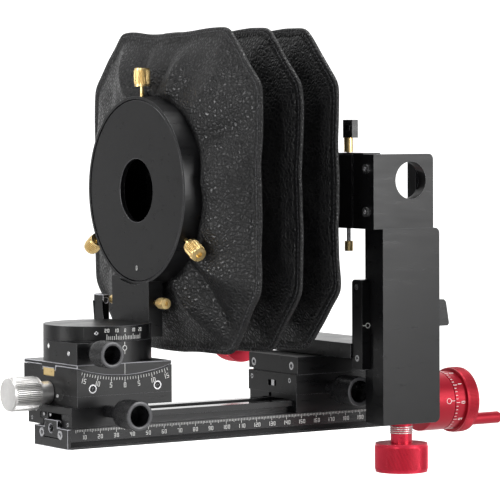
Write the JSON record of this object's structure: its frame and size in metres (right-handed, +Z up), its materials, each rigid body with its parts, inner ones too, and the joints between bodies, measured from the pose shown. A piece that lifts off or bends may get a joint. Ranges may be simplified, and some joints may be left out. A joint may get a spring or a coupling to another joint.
{
  "type": "view camera",
  "caption": "Geared technical view camera on a dovetail rail: tilting and swinging round lens standard, black leather bag bellows, and a rear standard with shift, rise and a camera mount.",
  "frame": {"origin": "mouth of the central tripod socket in the rail's underside", "axes": "+Z up, +Y along the rail from the lens standard to the camera mount, +X to the right seen from the lens side"},
  "size_m": [0.18, 0.3175, 0.2452],
  "materials": {
    "black_aluminium": "fine matt anodised, bright worn edges",
    "red_aluminium": "satin red anodised",
    "plain_aluminium": "satin turned",
    "steel": "brushed",
    "brass": "turned and knurled",
    "leather": "black pebble grain",
    "black_knob": "satin black anodised"
  },
  "bodies": {
    "rail_assembly": {"rail": "black_aluminium", "rail_front_cap": "black_aluminium", "rail_cap_screws": "steel", "index_collar": "red_aluminium"},
    "handwheel": {"lead_screw": "steel", "handwheel": "red_aluminium"},
    "crank_grip": {"crank_grip": "red_aluminium"},
    "front_carriage": {"front_carriage": "black_aluminium", "front_carriage_screws": "steel", "gonio_base_plate": "black_aluminium", "gonio_lower_body": "black_aluminium", "gonio_screws": "steel", "tilt_bearing": "plain_aluminium"},
    "front_lock_knob": {"front_lock_knob": "black_knob"},
    "tilt_knob": {"tilt_knob": "plain_aluminium", "tilt_worm": "steel"},
    "tilt_cradle": {"gonio_cradle": "black_aluminium", "tilt_rack": "brass", "swing_base": "black_aluminium"},
    "swing_lock_knob": {"swing_lock_knob": "black_knob"},
    "lens_standard": {"swing_disc": "black_aluminium", "lens_post": "black_aluminium", "post_side_lug": "black_aluminium", "lens_ring": "black_aluminium", "lens_board": "black_aluminium"},
    "clamp_screw_right": {"clamp_screw_right": "brass"},
    "clamp_screw_left": {"clamp_screw_left": "brass"},
    "lens_screw_top": {"lens_screw_top": "brass"},
    "lens_screw_left": {"lens_screw_left": "brass"},
    "lens_screw_right": {"lens_screw_right": "brass"},
    "bellows_01": {"bellows_front_panel": "leather"},
    "bellows_02": {"bellows_front_border": "leather"},
    "bellows_03": {"bellows_fold_1_back": "leather"},
    "bellows_04": {"bellows_fold_2_front_inner": "leather"},
    "bellows_05": {"bellows_fold_2_front_outer": "leather"},
    "bellows_06": {"bellows_fold_2_back_outer": "leather"},
    "bellows_07": {"bellows_fold_2_back_inner": "leather"},
    "bellows_08": {"bellows_fold_3_front_inner": "leather"},
    "bellows_09": {"bellows_fold_3_front_outer": "leather"},
    "bellows_10": {"bellows_fold_3_back_outer": "leather"},
    "bellows_11": {"bellows_rear_sleeve": "leather"},
    "rear_carriage": {"rear_carriage": "black_aluminium", "rear_carriage_plate": "black_aluminium", "shift_base": "black_aluminium", "rear_carriage_screws": "steel", "screw_nut": "brass"},
    "rear_lock_knob": {"rear_lock_knob": "black_knob"},
    "shift_slide": {"shift_bar": "black_aluminium", "rise_bracket": "black_aluminium", "bracket_screws": "steel"},
    "shift_knob": {"shift_knob": "red_aluminium"},
    "rise_column": {"column": "black_aluminium", "rear_arm": "black_aluminium", "arm_screws": "steel", "rear_frame": "black_aluminium", "camera_mount": "steel"},
    "rise_knob": {"rise_knob": "red_aluminium"},
    "rise_lock_lever": {"rise_lock_lever": "black_knob"},
    "latch_lever": {"latch_lever": "brass"}
  },
  "joints": [
    {"name": "front_focus", "type": "slide", "parent": "rail_assembly", "child": "front_carriage", "axis": [0, 1, 0], "range_m": [0, 0.02]},
    {"name": "front_lock", "type": "hinge", "parent": "front_carriage", "child": "front_lock_knob", "pos_m": [0.03, -0.1005, 0.0196], "axis": [1, 0, 0], "range_deg": [0, 180]},
    {"name": "tilt", "type": "hinge", "parent": "front_carriage", "child": "tilt_cradle", "pos_m": [-0.011, -0.0895, 0.133], "axis": [1, 0, 0], "range_deg": [-15, 15]},
    {"name": "tilt_knob_turn", "type": "hinge", "parent": "front_carriage", "child": "tilt_knob", "pos_m": [-0.0125, -0.13, 0.0284], "axis": [0, 1, 0], "range_deg": [-2165, 2165]},
    {"name": "swing", "type": "hinge", "parent": "tilt_cradle", "child": "lens_standard", "pos_m": [-0.011, -0.0895, 0.06], "axis": [0, 0, 1], "range_deg": [-20, 20]},
    {"name": "swing_lock", "type": "hinge", "parent": "tilt_cradle", "child": "swing_lock_knob", "pos_m": [0.03, -0.1098, 0.0515], "axis": [1, 0, 0], "range_deg": [0, 180]},
    {"name": "clamp_right_turn", "type": "hinge", "parent": "lens_standard", "child": "clamp_screw_right", "pos_m": [0.01, -0.0615, 0.0755], "axis": [1, 0, 0], "range_deg": [0, 360]},
    {"name": "clamp_left_turn", "type": "hinge", "parent": "lens_standard", "child": "clamp_screw_left", "pos_m": [-0.04, -0.061, 0.0752], "axis": [-1, 0, 0], "range_deg": [0, 360]},
    {"name": "lens_screw_top_turn", "type": "hinge", "parent": "lens_standard", "child": "lens_screw_top", "pos_m": [-0.011, -0.0599, 0.1917], "axis": [0, 0, 1], "range_deg": [0, 360]},
    {"name": "lens_screw_left_turn", "type": "hinge", "parent": "lens_standard", "child": "lens_screw_left", "pos_m": [-0.05863, -0.0599, 0.1092], "axis": [-0.866, 0, -0.5], "range_deg": [0, 360]},
    {"name": "lens_screw_right_turn", "type": "hinge", "parent": "lens_standard", "child": "lens_screw_right", "pos_m": [0.03663, -0.0599, 0.1092], "axis": [0.866, 0, -0.5], "range_deg": [0, 360]},
    {"name": "bellows_swing", "type": "hinge", "parent": "lens_standard", "child": "bellows_01", "pos_m": [-0.011, -0.0895, 0.06], "axis": [0, 0, 1], "range_deg": [-20.1, 20.1], "deforming": ["bellows_front_panel"]},
    {"name": "bellows_tilt_a", "type": "hinge", "parent": "bellows_01", "child": "bellows_02", "pos_m": [-0.011, -0.0895, 0.133], "axis": [1, 0, 0], "range_deg": [-7.6, 7.6], "deforming": ["bellows_front_border"]},
    {"name": "bellows_tilt_b", "type": "hinge", "parent": "bellows_02", "child": "bellows_03", "pos_m": [-0.011, -0.0895, 0.133], "axis": [1, 0, 0], "range_deg": [-7.6, 7.6], "deforming": ["bellows_fold_1_back"]},
    {"name": "bellows_front_a", "type": "slide", "parent": "bellows_03", "child": "bellows_04", "axis": [0, 1, 0], "range_m": [-0.01001, 0.00001], "deforming": ["bellows_fold_2_front_inner"]},
    {"name": "bellows_shift_a", "type": "slide", "parent": "bellows_04", "child": "bellows_05", "axis": [1, 0, 0], "range_m": [-0.00101, 0.01001], "deforming": ["bellows_fold_2_front_outer"]},
    {"name": "bellows_rear_a", "type": "slide", "parent": "bellows_05", "child": "bellows_06", "axis": [0, 1, 0], "range_m": [-0.01001, 0.01501], "deforming": ["bellows_fold_2_back_outer"]},
    {"name": "bellows_rise_a", "type": "slide", "parent": "bellows_06", "child": "bellows_07", "axis": [0, 0, 1], "range_m": [-0.00751, 0.00751], "deforming": ["bellows_fold_2_back_inner"]},
    {"name": "bellows_front_b", "type": "slide", "parent": "bellows_07", "child": "bellows_08", "axis": [0, 1, 0], "range_m": [-0.01001, 0.00001], "deforming": ["bellows_fold_3_front_inner"]},
    {"name": "bellows_shift_b", "type": "slide", "parent": "bellows_08", "child": "bellows_09", "axis": [1, 0, 0], "range_m": [-0.00101, 0.01001], "deforming": ["bellows_fold_3_front_outer"]},
    {"name": "bellows_rear_b", "type": "slide", "parent": "bellows_09", "child": "bellows_10", "axis": [0, 1, 0], "range_m": [-0.01001, 0.01501], "deforming": ["bellows_fold_3_back_outer"]},
    {"name": "bellows_rise_b", "type": "slide", "parent": "bellows_10", "child": "bellows_11", "axis": [0, 0, 1], "range_m": [-0.00751, 0.00751], "deforming": ["bellows_rear_sleeve"]},
    {"name": "rear_focus", "type": "slide", "parent": "rail_assembly", "child": "rear_carriage", "axis": [0, 1, 0], "range_m": [-0.02, 0.03]},
    {"name": "handwheel_turn", "type": "hinge", "parent": "rail_assembly", "child": "handwheel", "pos_m": [0, 0.14, 0.0103], "axis": [0, 1, 0], "range_deg": [-721, 1081]},
    {"name": "crank_spin", "type": "hinge", "parent": "handwheel", "child": "crank_grip", "pos_m": [0.008, 0.165, -0.001], "axis": [0, 1, 0], "continuous": true},
    {"name": "rear_lock", "type": "hinge", "parent": "rear_carriage", "child": "rear_lock_knob", "pos_m": [0.03, 0.0446, 0.0242], "axis": [1, 0, 0], "range_deg": [0, 180]},
    {"name": "shift", "type": "slide", "parent": "rear_carriage", "child": "shift_slide", "axis": [1, 0, 0], "range_m": [-0.002, 0.02]},
    {"name": "shift_knob_turn", "type": "hinge", "parent": "shift_slide", "child": "shift_knob", "pos_m": [-0.09, 0.056, 0.0459], "axis": [1, 0, 0], "range_deg": [-145, 1441]},
    {"name": "rise", "type": "slide", "parent": "shift_slide", "child": "rise_column", "axis": [0, 0, 1], "range_m": [-0.015, 0.015]},
    {"name": "rise_knob_turn", "type": "hinge", "parent": "rise_column", "child": "rise_knob", "pos_m": [0.0625, 0.062, -0.012], "axis": [0, 0, 1], "range_deg": [-1081, 1081]},
    {"name": "rise_lock", "type": "hinge", "parent": "rise_column", "child": "rise_lock_lever", "pos_m": [0.0655, 0.085, 0.067], "axis": [0, 1, 0], "range_deg": [0, 60]},
    {"name": "latch_turn", "type": "hinge", "parent": "rise_column", "child": "latch_lever", "pos_m": [0.0367, 0.045, 0.15], "axis": [0, 0, 1], "range_deg": [0, 90]}
  ],
  "couplings": [
    {"joint": "tilt_knob_turn", "follows": "tilt", "ratio": 144},
    {"joint": "bellows_swing", "follows": "swing", "ratio": -1},
    {"joint": "bellows_tilt_a", "follows": "tilt", "ratio": -0.5},
    {"joint": "bellows_tilt_b", "follows": "tilt", "ratio": -0.5},
    {"joint": "bellows_front_a", "follows": "front_focus", "ratio": -0.5},
    {"joint": "bellows_shift_a", "follows": "shift", "ratio": 0.5},
    {"joint": "bellows_rear_a", "follows": "rear_focus", "ratio": 0.5},
    {"joint": "bellows_rise_a", "follows": "rise", "ratio": 0.5},
    {"joint": "bellows_front_b", "follows": "front_focus", "ratio": -0.5},
    {"joint": "bellows_shift_b", "follows": "shift", "ratio": 0.5},
    {"joint": "bellows_rear_b", "follows": "rear_focus", "ratio": 0.5},
    {"joint": "bellows_rise_b", "follows": "rise", "ratio": 0.5},
    {"joint": "handwheel_turn", "follows": "rear_focus", "rad_per_m": 628.32},
    {"joint": "shift_knob_turn", "follows": "shift", "rad_per_m": 1256.6},
    {"joint": "rise_knob_turn", "follows": "rise", "rad_per_m": 1256.6}
  ]
}
